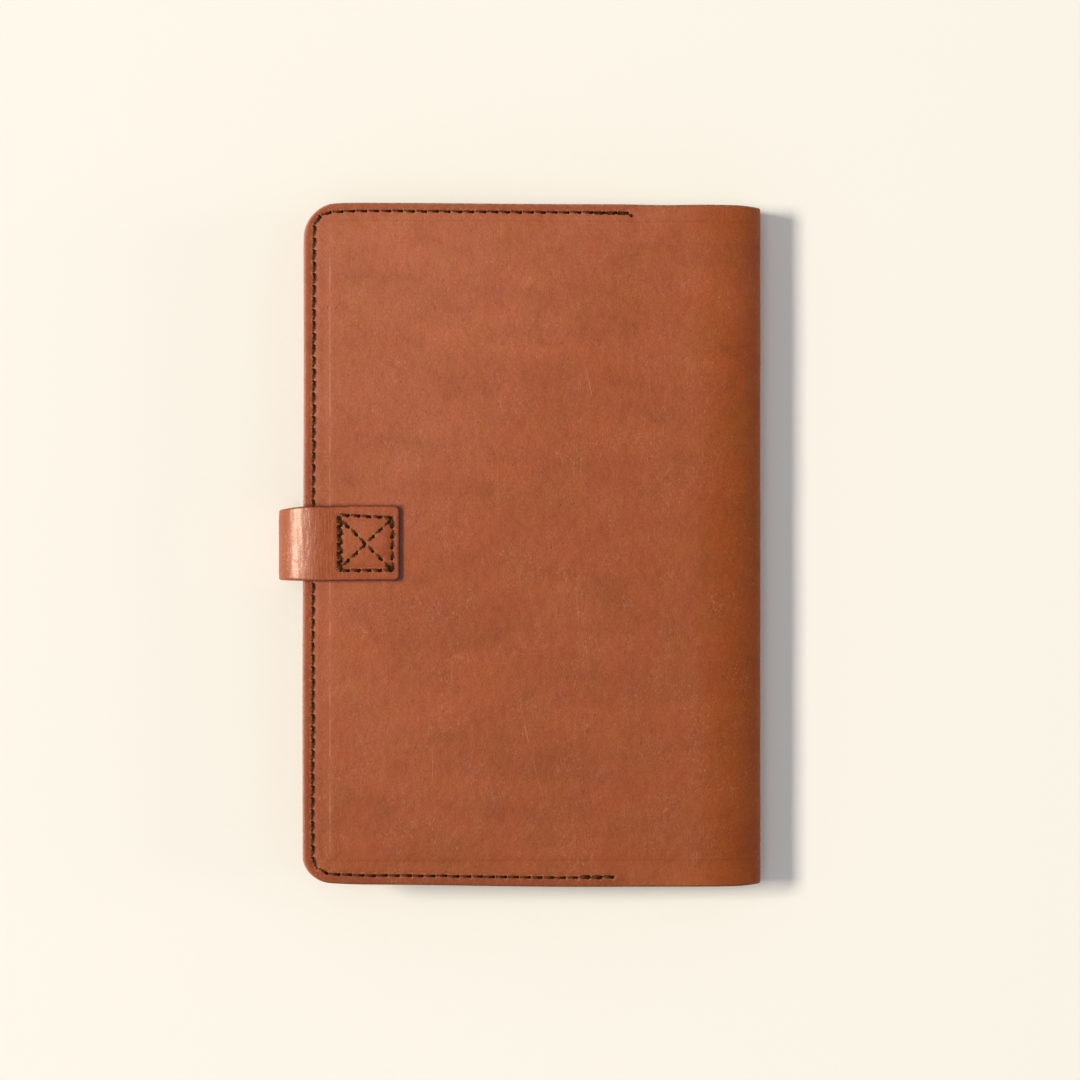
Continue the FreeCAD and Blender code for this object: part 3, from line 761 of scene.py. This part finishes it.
class Nodes:
    """A short way to write a node material."""

    def __init__(self, name):
        self.material = bpy.data.materials.new(name)
        self.material.use_nodes = True
        self.tree = self.material.node_tree
        self.shader = self.tree.nodes["Principled BSDF"]

    def link(self, value, socket):
        if isinstance(value, bpy.types.NodeSocket):
            self.tree.links.new(value, socket)
        else:
            socket.default_value = value

    def add(self, kind, out=0, settings=None, **inputs):
        node = self.tree.nodes.new("ShaderNode" + kind)
        for key, value in (settings or {}).items():
            setattr(node, key, value)
        for key, value in inputs.items():
            self.link(value, node.inputs[key.replace("_", " ")])
        return node.outputs[out]

    def attribute(self, name, out="Vector"):
        return self.add("Attribute", out, {"attribute_name": name})

    def mapped(self, vector, scale, turn=0.0, move=(0, 0, 0)):
        return self.add("Mapping", Vector=vector, Scale=scale, Rotation=(0, 0, math.radians(turn)),
                        Location=move)

    def moved(self, vector, x, y):
        return self.mapped(vector, (1, 1, 1), 0, (x, y, 0))

    def noise(self, vector, scale, detail=3.0, roughness=0.55, distortion=0.0):
        return self.add("TexNoise", "Fac", Vector=vector, Scale=scale, Detail=detail, Roughness=roughness,
                        Distortion=distortion)

    def cells(self, vector, scale, feature="F1"):
        return self.add("TexVoronoi", "Distance", {"feature": feature}, Vector=vector, Scale=scale)

    def span(self, value, low, high, to_low=0.0, to_high=1.0):
        return self.add("MapRange", "Result", Value=value, From_Min=low, From_Max=high, To_Min=to_low,
                        To_Max=to_high)

    def fall(self, value, low, high):
        """1 below low, 0 above high, and a straight fall between them."""
        return self.span(value, low, high, 1.0, 0.0)

    def maths(self, operation, a, b=0.0):
        node = self.tree.nodes.new("ShaderNodeMath")
        node.operation = operation
        self.link(a, node.inputs[0])
        self.link(b, node.inputs[1])
        return node.outputs[0]

    def times(self, *values):
        return reduce(lambda a, b: self.maths("MULTIPLY", a, b), values)

    def plus(self, *values):
        return reduce(lambda a, b: self.maths("ADD", a, b), values)

    def minus(self, a, b):
        return self.maths("SUBTRACT", a, b)

    def mix(self, factor, a, b, blend="MIX"):
        node = self.tree.nodes.new("ShaderNodeMix")
        node.data_type = "RGBA"
        node.blend_type = blend
        self.link(factor, node.inputs[0])
        self.link(a, node.inputs[6])
        self.link(b, node.inputs[7])
        return node.outputs[2]

    def tinted(self, mask, tone, factors):
        """The tone with its red, green and blue multiplied by these factors where the mask is 1."""
        return self.mix(mask, tone, (*factors, 1.0), "MULTIPLY")

    def bump(self, height, strength, distance, normal=None):
        node = self.tree.nodes.new("ShaderNodeBump")
        node.inputs["Strength"].default_value = strength
        node.inputs["Distance"].default_value = distance
        self.link(height, node.inputs["Height"])
        if normal is not None:
            self.link(normal, node.inputs["Normal"])
        return node.outputs[0]

    def part(self, vector, axis):
        return self.add("SeparateXYZ", axis, Vector=vector)

    def finish(self, **inputs):
        for key, value in inputs.items():
            self.link(value, self.shader.inputs[key.replace("_", " ")])
        return self.material


def rgb(r, g, b):
    """A linear colour from the 0 to 255 values that it has on a screen."""
    def one(c):
        c = c / 255
        return c / 12.92 if c <= 0.04045 else ((c + 0.055) / 1.055) ** 2.4
    return (one(r), one(g), one(b), 1.0)


def cloudy_tone(n, sheet, shades, streaks, painted_light_falloff):
    """The leather's uneven colour, from broad clouds down to fine grain. With its last argument set, it is
    paler towards the fore-edge and the head: painted light falloff and sheen from the lamp at the upper
    left."""
    pale, middle, deep = shades
    cloud = n.noise(n.mapped(sheet, (1, 1, 1), 20), 0.022, 3.0, 0.5, 0.6)
    if painted_light_falloff:
        # Painted light: paler towards the fore-edge and the head, standing in for the lamp's falloff and
        # sheen.
        fore = n.span(n.maths("ABSOLUTE", n.part(sheet, "X")), 30, COVER_REACH, 0.0, 0.45)
        head = n.span(n.part(sheet, "Y"), TAIL, HEAD, 0.0, 0.65)
        grade = n.plus(fore, head, n.span(cloud, 0.3, 0.7, -0.20, 0.10))
    else:
        grade = n.span(cloud, 0.3, 0.7, 0.2, 0.8)
    tone = n.mix(n.span(grade, 0.22, 0.52), deep, middle)
    tone = n.mix(n.span(grade, 0.52, 0.85), tone, pale)

    streak = n.noise(n.mapped(sheet, (0.30, 1, 1), 28), 0.070, 5.0, 0.6, 1.0)
    tone = n.tinted(n.span(streak, 0.48, 0.74, 0.0, 0.55 * streaks), tone, (0.80, 0.74, 0.70))
    blotch = n.noise(n.moved(sheet, 40, 7), 0.13, 5.0, 0.62, 0.5)
    tone = n.tinted(n.span(blotch, 0.50, 0.74, 0.0, 0.6), tone, (0.80, 0.73, 0.66))
    glow = n.noise(n.mapped(sheet, (0.5, 1, 1), -35, (9, 60, 0)), 0.06, 4.0, 0.6)
    tone = n.tinted(n.span(glow, 0.48, 0.70, 0.0, 0.6), tone, (1.16, 1.18, 1.18))
    fine = n.noise(sheet, 1.3, 6.0, 0.7)
    tone = n.tinted(n.span(fine, 0.38, 0.62, 0.0, 0.9), tone, (0.80, 0.75, 0.70))
    hue = n.noise(n.mapped(sheet, (1, 0.8, 1), 0, (66, 20, 0)), 0.075, 3.0, 0.55, 0.8)
    tone = n.tinted(n.fall(hue, 0.34, 0.50), tone, (0.98, 1.05, 0.82))
    return n.tinted(n.span(hue, 0.50, 0.66), tone, (1.04, 1.00, 1.04))


def skin_marks(n, sheet, tone):
    """Fine ripples, pale specks, pores and scratches: the colour with them, and how far they stand out."""
    ripple = n.noise(n.mapped(sheet, (1.0, 0.55, 1), 4, (21, 55, 0)), 1.05, 5.0, 0.7, 1.8)
    rippled = n.span(n.noise(n.moved(sheet, 12, 44), 0.07, 2.0), 0.42, 0.62)
    ripple = n.times(n.span(ripple, 0.54, 0.70), rippled)
    tone = n.mix(n.times(ripple, 0.42), tone, rgb(212, 148, 104))
    speck = n.span(n.noise(n.moved(sheet, 31, 17), 1.9, 4.0, 0.75), 0.60, 0.72, 0.0, 0.20)
    tone = n.mix(speck, tone, rgb(226, 168, 130))

    pores = n.cells(n.moved(sheet, 3, 3), 0.42)
    sparse = n.span(n.noise(sheet, 0.2, 2.0), 0.48, 0.58)
    pore = n.times(n.fall(pores, 0.06, 0.14), sparse)
    tone = n.mix(n.times(pore, 0.55), tone, rgb(84, 36, 18))

    scratch = n.cells(n.mapped(sheet, (1, 0.055, 1), 38, (5, 11, 0)), 0.11, "DISTANCE_TO_EDGE")
    where = n.span(n.noise(n.moved(sheet, 80, 0), 0.06, 2.0), 0.60, 0.68)
    scratch = n.times(n.fall(scratch, 0.002, 0.008), where)
    tone = n.mix(n.times(scratch, 0.22), tone, rgb(205, 140, 104))

    relief = n.minus(n.times(ripple, 0.8), n.times(pore, 0.8))
    return tone, n.minus(relief, n.times(scratch, 0.4))


def cover_marks(n, sheet, tone, edge, wobble):
    """Marks on the covers: a darker rim outside the seam, a painted shadow beside and under the strap's tab,
    painted shade along the cut ends at head and tail, a painted highlight on the ridge over the edge of the
    notebook's board, and painted shade on the step just outside that edge."""
    along, up = n.maths("ABSOLUTE", n.part(sheet, "X")), n.part(sheet, "Y")
    rim = n.times(n.span(edge, 0.5, 0.9), n.fall(edge, 2.5, 3.2), n.span(along, 42, 56))
    tone = n.tinted(rim, tone, (0.86, 0.72, 0.50))

    # Painted shadow of the strap's tab: dark beside its end and its sides, and in a band along its tail
    # side.
    tab = n.attribute("tab")
    past_end, past_head, past_tail = n.part(tab, "X"), n.part(tab, "Y"), n.part(tab, "Z")
    outside = n.maths("MAXIMUM", n.maths("MAXIMUM", past_tail, past_head), 0.0)
    painted_tab_shadow = n.times(n.fall(past_end, 0.6, 2.1), n.fall(outside, 0.0, 1.0))
    under = n.times(n.fall(past_tail, 0.2, 0.8), n.fall(past_end, -1.0, 0.5),
                    n.span(past_tail, -1.0, -0.5))
    painted_tab_shadow = n.maths("MAXIMUM", painted_tab_shadow, n.times(under, 0.8))
    tone = n.tinted(n.times(painted_tab_shadow, 0.80), tone, (0.34, 0.26, 0.20))

    # Painted shade: a thin dark line along the head and tail edges, which don't face the lamp.
    ends = n.attribute("ends", "Fac")
    tone = n.mix(n.span(n.plus(ends, wobble), 0.62, 0.95, 0.85, 0.0), tone, rgb(66, 40, 22))

    # Painted highlight: a pale, patchy line on the ridge over the board's edge, where its slope faces the
    # lamp; it fades towards head and tail.
    board = n.attribute("board", "Fac")
    highlight_patches = n.span(n.noise(n.moved(sheet, 7, 90), 0.12, 4.0, 0.6), 0.42, 0.62)
    crest = n.times(n.span(board, 0.0, 0.22), n.fall(board, 0.25, 0.5))
    crest = n.times(crest, n.span(up, 96, 106, 1.0, 0.2), n.span(up, -105, -99, 0.12, 1.0))
    tone = n.mix(n.times(crest, highlight_patches, 0.34), tone, rgb(224, 166, 128))
    # Painted shade on the step just outside the board's edge.
    below = n.times(n.span(board, -1.3, -0.5), n.fall(board, -0.2, 0.1))
    return n.tinted(n.times(below, 0.35), tone, (0.86, 0.82, 0.78))


def near_stitches(n, wobble):
    """Masks for the needle holes, which are painted dark as shade, and for the leather that the thread has
    pulled up round them, which gets a painted highlight.
    """
    seam = n.attribute("seam")
    along, beside = n.part(seam, "X"), n.part(seam, "Y")
    step = n.times(n.minus(n.maths("FRACT", n.plus(along, 0.5)), 0.5), PITCH)
    gap = n.maths("SQRT", n.plus(n.times(step, step), n.times(beside, beside)))
    gap = n.plus(gap, n.span(wobble, 0.3, 0.7, -0.12, 0.12))
    hole = n.fall(gap, 0.26, 0.46)
    return hole, n.times(n.span(gap, 0.50, 0.70), n.fall(gap, 0.75, 1.3))


def strap_creases(n, sheet, height, polish):
    """The strap's creases where it starts to bend, with the bend itself worn smooth."""
    along, run = n.part(sheet, "X"), n.mapped(sheet, (1, 0.22, 1), 3)
    zone = n.times(n.span(along, STRAP_SHEET + 16, STRAP_SHEET + 22),
                   n.fall(along, STRAP_SHEET + 29, STRAP_SHEET + 33))
    lines = n.cells(run, 0.55, "DISTANCE_TO_EDGE")
    lines = n.plus(n.span(lines, 0.0, 0.22), n.noise(run, 1.1, 4.0, 0.65, 0.6))
    grit = n.noise(n.mapped(sheet, (1, 0.6, 1), 25), 1.5, 4.0, 0.6)
    height = n.times(height, n.span(polish, 0, 1, 1.0, 0.35))
    return n.plus(height, n.times(lines, zone, 0.75), n.times(grit, polish, 0.15))


def leather(name, shades, thickness, streaks=1.0, gloss=0.0, cover=False, sewn=False, strap=False):
    """Full-grain leather from its pale, middle and deep shades, with burnished edges and a paler, fuzzy
    flesh side; the edges' colours are partly painted highlight and painted shade. cover and strap add the
    marks that only those pieces have, and sewn the needle holes, painted dark as shade."""
    n = Nodes(name)
    sheet = n.attribute("sheet")
    depth = n.part(sheet, "Z")
    edge = n.attribute("edge", "Fac")
    wobble = n.noise(sheet, 0.9, 3.0)
    tone = cloudy_tone(n, sheet, shades, streaks, cover)
    tone, relief = skin_marks(n, sheet, tone)

    near_edge = n.fall(n.plus(edge, n.times(wobble, 0.4)), 0.40, 0.75)
    if cover:
        # On the covers the edge is pale pink, partly a painted highlight, dark at the tail as painted shade,
        # and mid brown on the cut face.
        burnish_and_painted_light = n.mix(n.span(wobble, 0.4, 0.65), rgb(164, 116, 102), rgb(204, 158, 144))
        at_tail = n.fall(n.part(sheet, "Y"), TAIL + 2, TAIL + 5)
        burnish_and_painted_light = n.mix(at_tail, burnish_and_painted_light, rgb(76, 38, 24))
        burnish_and_painted_light = n.mix(n.span(depth, 0.35, 0.75), burnish_and_painted_light, rgb(116, 64, 42))
    else:
        # Dark edge paint, made darker still as painted shade on the cut edges.
        burnish_and_painted_light = n.mix(n.span(wobble, 0.4, 0.65), rgb(84, 42, 26), rgb(128, 72, 50))
    tone = n.mix(n.times(near_edge, 0.75), tone, burnish_and_painted_light)
    if cover:
        tone = cover_marks(n, sheet, tone, edge, wobble)

    flesh_mask = n.times(n.span(depth, thickness - 0.25, thickness - 0.05), n.span(edge, 0.25, 0.6))
    fuzz = n.noise(n.moved(sheet, 2, 5), 2.4, 6.0, 0.75, 1.2)
    tone = n.mix(flesh_mask, tone, n.mix(n.span(fuzz, 0.3, 0.7), rgb(138, 84, 50), rgb(176, 122, 82)))

    pebble = n.span(n.cells(n.mapped(sheet, (1, 0.8, 1), 12), 0.95, "DISTANCE_TO_EDGE"), 0.0, 0.12)
    grain = n.noise(sheet, 2.6, 4.0, 0.6, 0.3)
    height = n.plus(n.times(pebble, 0.22), n.times(grain, 0.65), relief, n.times(fuzz, flesh_mask, 1.6))
    if sewn:
        hole, pucker = near_stitches(n, wobble)
        # Painted shade in the needle holes.
        tone = n.mix(hole, tone, rgb(22, 10, 5))
        # Painted highlight on the leather that the thread pulls up beside the holes.
        pucker_highlight = n.times(pucker, n.span(n.noise(sheet, 1.6, 3.0), 0.46, 0.60))
        tone = n.mix(n.times(pucker_highlight, 0.34), tone, rgb(222, 160, 120))
        height = n.plus(height, n.times(hole, -2.0), n.times(pucker, 0.5))

    dents = n.noise(sheet, 0.28, 3.0, 0.5)
    rough = n.span(n.noise(n.moved(sheet, 13, 1), 0.16, 4.0), 0.3, 0.7, 0.42, 0.52)
    rough = n.plus(rough, n.times(near_edge, -0.10), n.times(flesh_mask, 0.4), -gloss)
    shine, tint = 0.36, (1.0, 1.0, 1.0, 1.0)
    if cover:
        shine = n.span(n.maths("ABSOLUTE", n.part(sheet, "X")), 8, 26, 0.12, 0.36)
    if strap:
        along = n.part(sheet, "X")
        polish = n.times(n.span(along, STRAP_SHEET + 26, STRAP_SHEET + 32),
                         n.fall(along, STRAP_SHEET + 42, STRAP_SHEET + 50))
        height = strap_creases(n, sheet, height, polish)
        dents = n.times(dents, n.span(polish, 0, 1, 1.0, 0.25))
        rough = n.minus(rough, n.times(polish, 0.03))
        shine, tint = n.span(polish, 0, 1, 0.28, 0.84), (1.0, 0.83, 0.69, 1.0)
    normal = n.bump(dents, 0.22, 0.0016, n.bump(height, 0.42, 0.00022))
    return n.finish(Base_Color=tone, Roughness=rough, Normal=normal, Specular_IOR_Level=shine,
                    Specular_Tint=tint)


def thread_material():
    """Waxed linen: nearly black where it dives into the leather, as painted shade, brown where it rises, and
    tan near the start of its crest as a painted highlight.
    """
    n = Nodes("waxed_thread")
    sheet = n.attribute("sheet")
    fibre = n.noise(n.mapped(sheet, (2.0, 7.0, 7.0), 24), 2.2, 4.0, 0.6)
    rise = n.fall(n.part(sheet, "X"), -1.3, 1.1)
    crest = n.span(n.part(sheet, "Z"), -0.05, 0.45)
    highlight_patches = n.times(n.span(n.plus(rise, fibre), 0.55, 1.25), crest)
    # Painted shade: nearly black where the thread dives into its holes.
    base = n.mix(crest, rgb(22, 8, 3), rgb(54, 26, 10))
    # Painted highlight: tan patches near the start of each stitch's crest.
    tone = n.mix(n.times(highlight_patches, 0.36), base, rgb(150, 98, 50))
    return n.finish(Base_Color=tone, Roughness=0.72, Normal=n.bump(fibre, 0.6, 0.0002),
                    Specular_IOR_Level=0.08)


def paper_material(name, base, lines):
    """Uncoated paper. lines is how strongly the cut edges show their sheets."""
    n = Nodes(name)
    place = n.attribute("sheet") if lines else n.add("TexCoord", "Object")
    scale = 1.0 if lines else 1000.0
    fibre = n.noise(place, 1.6 * scale, 5.0, 0.7)
    layer = n.noise(n.mapped(place, (0.0, 0.0, 9.0 * scale)), 1.0, 3.0, 0.7)
    dark = tuple(c * 0.72 for c in base[:3]) + (1.0,)
    tone = n.mix(n.span(layer, 0.35, 0.7, 0.0, lines), base, dark)
    tone = n.mix(n.span(fibre, 0.4, 0.7, 0.0, 0.06), tone, dark)
    return n.finish(Base_Color=tone, Roughness=0.85, Normal=n.bump(fibre, 0.25, 0.0001),
                    Specular_IOR_Level=0.2)


def board_material():
    """Book cloth over board: a fine plain weave."""
    n = Nodes("book_cloth")
    place = n.add("TexCoord", "Object")
    weave_x = n.add("TexWave", "Fac", {"bands_direction": "X"}, Vector=place, Scale=900.0, Distortion=0.6)
    weave_y = n.add("TexWave", "Fac", {"bands_direction": "Y"}, Vector=place, Scale=900.0, Distortion=0.6)
    weave = n.maths("MAXIMUM", weave_x, weave_y)
    tone = n.mix(weave, rgb(30, 28, 30), rgb(58, 54, 56))
    return n.finish(Base_Color=tone, Roughness=0.8, Normal=n.bump(weave, 0.4, 0.00015),
                    Specular_IOR_Level=0.3)


def metal_material():
    """Antiqued brass: bright and brown in soft patches, with fine polishing marks."""
    n = Nodes("antique_brass")
    place = n.add("TexCoord", "Object")
    patina = n.noise(place, 420.0, 5.0, 0.6, 0.5)
    marks = n.noise(n.mapped(place, (400.0, 6000.0, 400.0), 30), 1.0, 2.0)
    tone = n.mix(n.span(patina, 0.4, 0.65), rgb(150, 118, 72), rgb(84, 60, 38))
    rough = n.span(marks, 0.3, 0.7, 0.26, 0.42)
    return n.finish(Base_Color=tone, Metallic=1.0, Roughness=rough, Normal=n.bump(marks, 0.15, 0.00005))


FLOOR_COLOUR = (0.925, 0.875, 0.770, 1.0)
FLOOR_HAZE = (0.90, 0.85, 0.76, 1.0)


def floor_material():
    """A pale seamless backdrop, with a faint haze."""
    n = Nodes("pale_floor")
    place = n.add("TexCoord", "Object")
    haze = n.noise(place, 3.0, 2.0)
    tone = n.mix(n.span(haze, 0.3, 0.7, 0.0, 0.05), FLOOR_COLOUR, FLOOR_HAZE)
    return n.finish(Base_Color=tone, Roughness=0.9, Specular_IOR_Level=0.1)


def dress(obj, material):
    """Give a piece its material."""
    obj.data.materials.clear()
    obj.data.materials.append(material)
    return obj


# Build

hide_leather = leather("saddle_leather", (rgb(181, 95, 55), rgb(169, 82, 34), rgb(160, 76, 24)), HIDE,
                       cover=True, sewn=True)
strap_leather = leather("strap_leather", (rgb(180, 93, 59), rgb(168, 83, 48), rgb(158, 75, 38)), STRAP, 0.6,
                        gloss=0.08, sewn=True, strap=True)
lining_leather = leather("lining_leather", (rgb(178, 112, 74), rgb(164, 96, 58), rgb(146, 84, 50)), LINING,
                         0.5)
thread = thread_material()
paper = paper_material("page_paper", rgb(236, 226, 204), 0.55)
endpaper = paper_material("endpaper", rgb(232, 219, 192), 0.0)
cloth = board_material()
brass = metal_material()

hide_back = dress(hide_half("hide_back", 1), hide_leather)
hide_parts("back_panel", "spine_panel")
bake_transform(hide_back)

hide_front = dress(hide_half("hide_front", -1), hide_leather)
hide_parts("front_panel")
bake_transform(hide_front)

for side, cover in ((-1, "front"), (1, "back")):
    pocket = dress(pocket_piece(cover + "_pocket_leather", side), lining_leather)
    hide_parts(cover + "_pocket")
    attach(pocket, cover + "_cover")
    seam = dress(thread_piece(cover + "_seam_stitches", seam_stitches(side), SEAM_THREAD), thread)
    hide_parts(cover + "_seam_thread")
    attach(seam, cover + "_cover")
    leaves = dress(page_half(cover + "_leaf_block", side), paper)
    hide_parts(cover + "_pages")
    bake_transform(leaves)

strap_upper = dress(strap_piece("strap_upper", 0, STRAP_MIDDLE, True), strap_leather)
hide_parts("strap_tab", "strap_bend")
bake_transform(strap_upper)

strap_lower = dress(strap_piece("strap_lower", STRAP_MIDDLE, STRAP_LENGTH, False), strap_leather)
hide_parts("strap_leg")
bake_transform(strap_lower)

box_thread = dress(thread_piece("strap_box_stitches", box_stitches(), BOX_THREAD), thread)
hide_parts("strap_box_thread")
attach(box_thread, "back_cover")

for node in ("notebook_front_board", "notebook_back_board", "notebook_spine"):
    dress(frame["nodes"][node], cloth)
for node in ("front_endpaper", "back_endpaper"):
    dress(frame["nodes"][node], endpaper)
for node in ("snap_cap", "snap_socket", "snap_stud", "snap_post"):
    dress(frame["nodes"][node], brass)


# Floor, light and camera

def floor():
    """The pale surface that the book lies on."""
    half = 3.0
    corners = [(-half, -half, 0), (half, -half, 0), (half, half, 0), (-half, half, 0)]
    mesh = bpy.data.meshes.new("floor")
    mesh.from_pydata(corners, [], [(0, 1, 2, 3)])
    obj = bpy.data.objects.new("floor", mesh)
    bpy.context.scene.collection.objects.link(obj)
    dress(obj, floor_material())


KEY_COLOUR = (1.0, 0.969, 0.876)
SKY_COLOUR = (0.84, 0.885, 1.0)


def area_light(name, place, wide, high, power, colour=(1, 1, 1)):
    """A soft box of this size in metres, aimed at the book."""
    light = bpy.data.lights.new(name, "AREA")
    light.shape = "RECTANGLE"
    light.size, light.size_y = wide, high
    light.energy = power
    light.color = colour
    obj = bpy.data.objects.new(name, light)
    bpy.context.scene.collection.objects.link(obj)
    obj.location = place
    obj.rotation_euler = (-obj.location).to_track_quat("-Z", "Y").to_euler()


def aim_from(azimuth, from_vertical, distance):
    """A place at this compass direction (degrees from +X towards +Y) and angle from straight up."""
    a, v = math.radians(azimuth), math.radians(from_vertical)
    level = distance * math.sin(v)
    return (level * math.cos(a), level * math.sin(a), distance * math.cos(v))


floor()
area_light("key", aim_from(174, 49, 12.0), 3.4, 2.1, 1400.0, KEY_COLOUR)
area_light("bounce", aim_from(0, 72, 6.0), 2.0, 2.0, 38.0)
area_light("fill", aim_from(180, 8, 6.0), 2.6, 2.6, 72.0, SKY_COLOUR)
world = bpy.data.worlds.new("studio")
world.use_nodes = True
sky = world.node_tree.nodes["Background"]
sky.inputs["Color"].default_value = (*SKY_COLOUR, 1.0)
sky.inputs["Strength"].default_value = 0.28
bpy.context.scene.world = world
bpy.context.scene.view_settings.view_transform = "Standard"

# The camera looks straight down: the width in metres that it sees, its height above the cover, and its
# sensor in millimetres
VIEW_WIDTH = 0.3624
CAMERA_HEIGHT = 1.3
SENSOR = 36.0
centre = point(2.35, 1.6, STACK)
camera = bpy.data.objects.new("camera", bpy.data.cameras.new("camera"))
bpy.context.scene.collection.objects.link(camera)
camera.location = (centre.x, centre.y, centre.z + CAMERA_HEIGHT)
camera.data.sensor_width = SENSOR
camera.data.lens = SENSOR * CAMERA_HEIGHT / VIEW_WIDTH
bpy.context.scene.camera = camera

bpy.context.view_layer.update()
